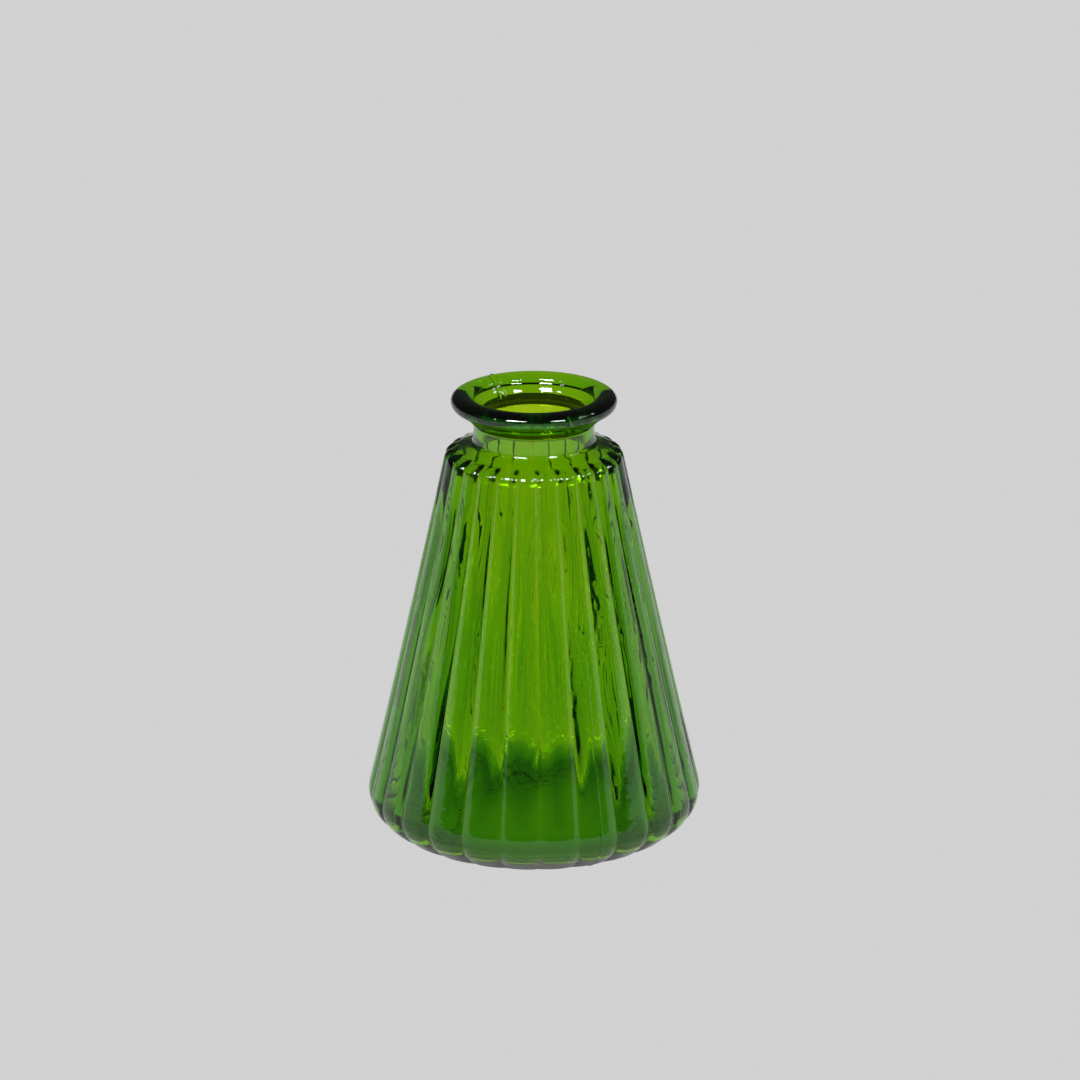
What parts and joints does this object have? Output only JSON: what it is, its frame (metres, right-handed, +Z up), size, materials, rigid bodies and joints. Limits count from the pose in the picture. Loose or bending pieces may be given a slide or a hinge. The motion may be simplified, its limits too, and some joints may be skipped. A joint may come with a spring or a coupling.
{
  "type": "bud vase",
  "caption": "Small tapered vase of clear yellow-green glass with vertical ribs, a short neck and a rolled rim, for holding a few cut stems.",
  "frame": {"origin": "centre of the foot, on the surface the vase stands on", "axes": "+Z up along the vase's own axis; a valley between two ribs lies 2 degrees to the +X side of -Y"},
  "size_m": [0.08, 0.08, 0.1087],
  "materials": {
    "green_glass": "clear yellow-green glass, fire-polished, with soft waves and two fine mould seams"
  },
  "bodies": {
    "root": {"glass_vase": "green_glass"}
  },
  "joints": []
}
